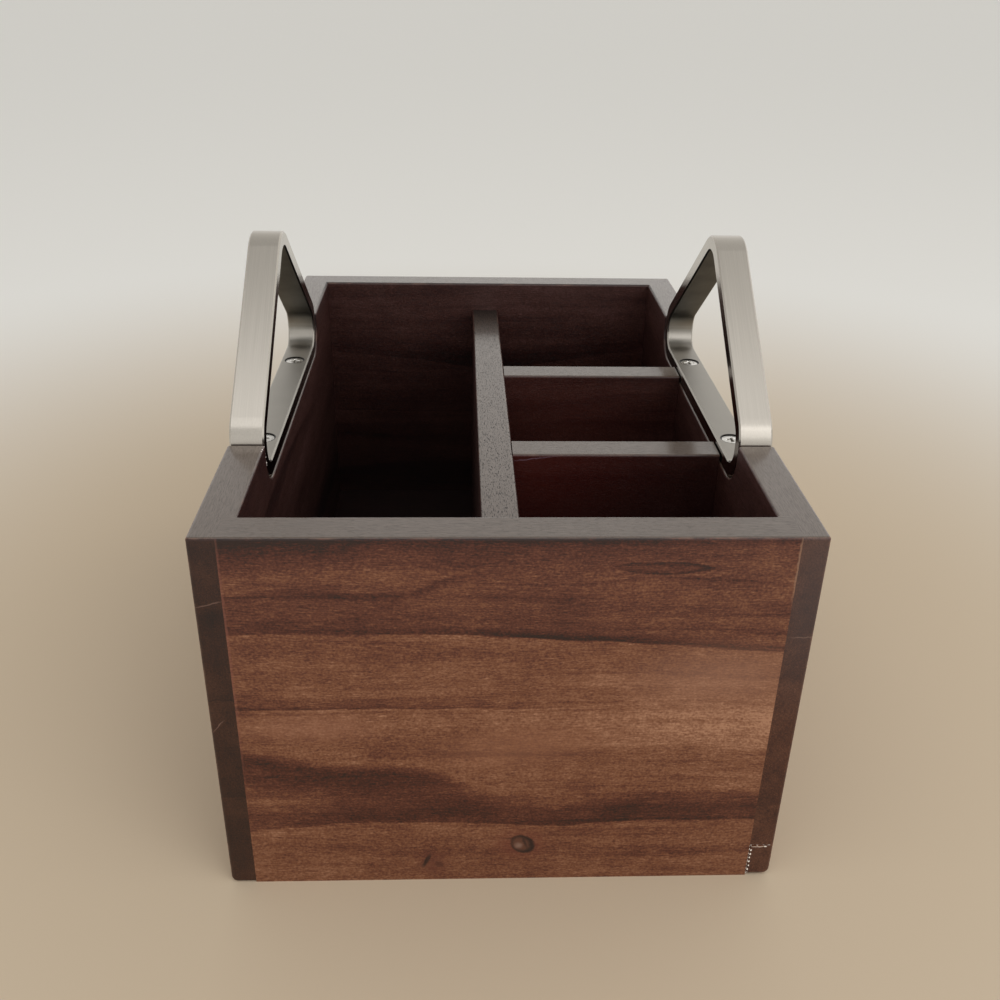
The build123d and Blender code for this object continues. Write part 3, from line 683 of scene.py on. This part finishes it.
def wood_screw(x, y, top):
    """A screw turned about its upright axis, as rings of radius r and height z over the angle a.
    The head is a low dome less a cross: each point of the cross lies deeper the nearer it is
    to an arm's middle, by clamp((wide - |across|) / slope) * clamp((long - |along|) / slope),
    and up to a quarter less deep towards the arms' ends. Then come the rim, the cone and the
    shank, whose radius goes from core to crest with the cube of the triangle wave of
    z / pitch + a / turn and shrinks to the tip."""
    a = np.linspace(0, 2 * np.pi, 96, endpoint=False)
    r = np.linspace(0.02 * mm, head_radius - 0.15 * mm, 44)[:, None]
    u, v = r * np.cos(a), r * np.sin(a)
    arms = [np.clip((cross_wide - np.abs(p)) / cross_slope, 0, 1)
            * np.clip((cross_long - np.abs(q)) / cross_slope, 0, 1) for p, q in ((u, v), (v, u))]
    depth = cross_deep * np.maximum(*arms) * (1 - 0.25 * r / cross_long)
    dome = dome_high * (1 - (r / head_radius) ** 2)
    head = np.stack([u, v, dome - depth - dome_high], axis=-1)
    rim = np.stack([turned[:, :1] * np.cos(a), turned[:, :1] * np.sin(a),
                    np.broadcast_to(turned[:, 1:], (len(turned), len(a)))], axis=-1)
    z = np.linspace(-7.2 * mm, -screw_long, 130)[:, None]
    wave = np.abs(2 * ((-z / thread_pitch - a / (2 * np.pi)) % 1) - 1) ** 3
    taper = np.clip((z + screw_long) / (3 * mm), 0, 1) ** 0.7 + 0.01
    radius = (core_radius + (shank_radius - core_radius) * wave) * taper
    thread = np.stack([radius * np.cos(a), radius * np.sin(a), z + 0 * a], axis=-1)
    return np.concatenate([head, rim, thread]) + np.array([x, y, top])


# Bright turned steel: nearly white, with turning marks round the head and a painted shade, grey, in
# the cross.
# Real marks are 0.05 mm apart; these are 0.25 mm.
bright, tree, shader = new_material("bright turned steel", Metallic=1.0)
place = add(tree, "TexCoord")
point = add(tree, "VectorMath", {0: place.outputs["Object"]}, operation="ABSOLUTE").outputs[0]
point = add(tree, "VectorMath", {0: point, 1: (bar_x, screw_y, 0)}, operation="SUBTRACT").outputs[0]
ring = add(tree, "VectorMath", {0: point, 1: (1, 1, 0)}, operation="MULTIPLY").outputs[0]
ring = add(tree, "VectorMath", {0: ring}, operation="LENGTH").outputs["Value"]
turning = add(tree, "Math", {0: ring, 1: 2 * np.pi / (0.25 * mm)},
              operation="MULTIPLY").outputs[0]
turning = add(tree, "Math", {0: turning}, operation="SINE").outputs[0]
cloud = add(tree, "TexNoise", {"Vector": point, "Scale": 900.0, "Detail": 2.0}).outputs["Fac"]
mixed = add(tree, "Math", {0: turning, 1: 0.1, 2: cloud}, operation="MULTIPLY_ADD").outputs[0]
colour = add(tree, "ValToRGB", {"Fac": mixed},
             stops=[(0.3, "#cfcbc4"), (0.6, "#f4f2ee")]).outputs["Color"]
height = add(tree, "SeparateXYZ", {"Vector": point}).outputs["Z"]
# painted shade in the cross: grey where it lies deeper than 0.55 to 0.95 mm below the bar's top
cross_shade = add(tree, "MapRange", {"Value": height, "From Min": bar_top - 0.55 * mm,
                              "From Max": bar_top - 0.95 * mm}).outputs["Result"]
colour = add(tree, "Mix", {0: cross_shade, 6: colour, 7: linear("#8d8982")}, data_type="RGBA").outputs[2]
tree.links.new(colour, shader.inputs["Base Color"])
gloss = add(tree, "MapRange", {"Value": mixed, "To Min": 0.34, "To Max": 0.2})
tree.links.new(gloss.outputs["Result"], shader.inputs["Roughness"])
bump = add(tree, "Bump", {"Height": mixed, "Strength": 0.2, "Distance": 0.02 * mm})
tree.links.new(bump.outputs[0], shader.inputs["Normal"])

for side, x in (("left", -bar_x), ("right", bar_x)):
    pair = skin(side + "_wood_screws",
                [wood_screw(x, y, bar_top - head_sunk) for y in (-screw_y, screw_y)])
    pair.data.materials.append(bright)
    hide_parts(side + "_handle_screws")
    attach(pair, "caddy")


# ------------------------------------------------------------------ studio
# A plain pale floor, a little darker round the caddy, under a soft, even light
# with two large softboxes.

bpy.ops.mesh.primitive_plane_add(size=60, location=(0, 0, 0))
floor = bpy.context.object
floor.name = "studio_floor"
floor_paint, tree, shader = new_material("studio floor", Roughness=0.8)
away = add(tree, "VectorMath", {0: add(tree, "TexCoord").outputs["Object"]}, operation="LENGTH")
sweep = add(tree, "MapRange", {"Value": away.outputs["Value"], "From Min": 0.22, "From Max": 0.75},
            interpolation_type="SMOOTHSTEP").outputs["Result"]
sweep = add(tree, "ValToRGB", {"Fac": sweep}, stops=[(0.0, "#cbb9a0"), (1.0, "#f2f1ed")])
tree.links.new(sweep.outputs["Color"], shader.inputs["Base Color"])
floor.data.materials.append(floor_paint)

# The room: pale walls, a little darker overhead and a little brighter on the right.
world = bpy.data.worlds.new("studio")
bpy.context.scene.world = world
world.use_nodes = True
tree = world.node_tree
way = add(tree, "SeparateXYZ", {"Vector": add(tree, "TexCoord").outputs["Generated"]})
level = add(tree, "MapRange", {"Value": way.outputs["Z"], "From Min": 0.2, "From Max": 1.0,
                               "To Min": 0.98, "To Max": 0.62}).outputs["Result"]
level = add(tree, "Math", {0: way.outputs["X"], 1: 0.2, 2: level}, operation="MULTIPLY_ADD")
tree.links.new(level.outputs[0], tree.nodes["Background"].inputs["Strength"])
tree.nodes["Background"].inputs["Color"].default_value = linear("#f2f0ec")

# One softbox at the front right and one overhead, which starts above the handles' feet.
for name, place, aim, size, power in (
        ("softbox_key", (1.1, -1.3, 1.2), (0, 0, 0.1), (1.2, 1.2), 7),
        ("softbox_top", (-0.15, -0.62, 1.35), (-0.15, -0.62, 0), (1.4, 1.0), 3.6)):
    lamp = bpy.data.objects.new(name, bpy.data.lights.new(name, "AREA"))
    lamp.data.shape = "RECTANGLE"
    lamp.data.size, lamp.data.size_y = size
    lamp.data.energy = power
    lamp.location = place
    lamp.rotation_euler = (Vector(aim) - lamp.location).to_track_quat("-Z", "Y").to_euler()
    lamp.visible_camera = False
    bpy.context.collection.objects.link(lamp)

# The camera stands in front, a little left of the middle, and looks down at 28 degrees.
# Its place is in metres and its turns are in radians.
camera_place = (-0.016704, -0.425126, 0.306663)
pitch, yaw, roll = 0.483968, 0.045189, 0.021130
camera = bpy.data.objects.new("camera", bpy.data.cameras.new("camera"))
bpy.context.collection.objects.link(camera)
bpy.context.scene.camera = camera
camera.data.sensor_width = 36.0
camera.data.lens = 37.775
ahead = Vector((math.sin(yaw) * math.cos(pitch), math.cos(yaw) * math.cos(pitch), -math.sin(pitch)))
right = Vector((math.cos(yaw), -math.sin(yaw), 0))
up = right.cross(ahead)
right, up = (right * math.cos(roll) + up * math.sin(roll),
             up * math.cos(roll) - right * math.sin(roll))
camera.matrix_world = (Matrix.Translation(camera_place)
                       @ Matrix((right, up, -ahead)).transposed().to_4x4())

bpy.context.scene.view_settings.view_transform = "Standard"
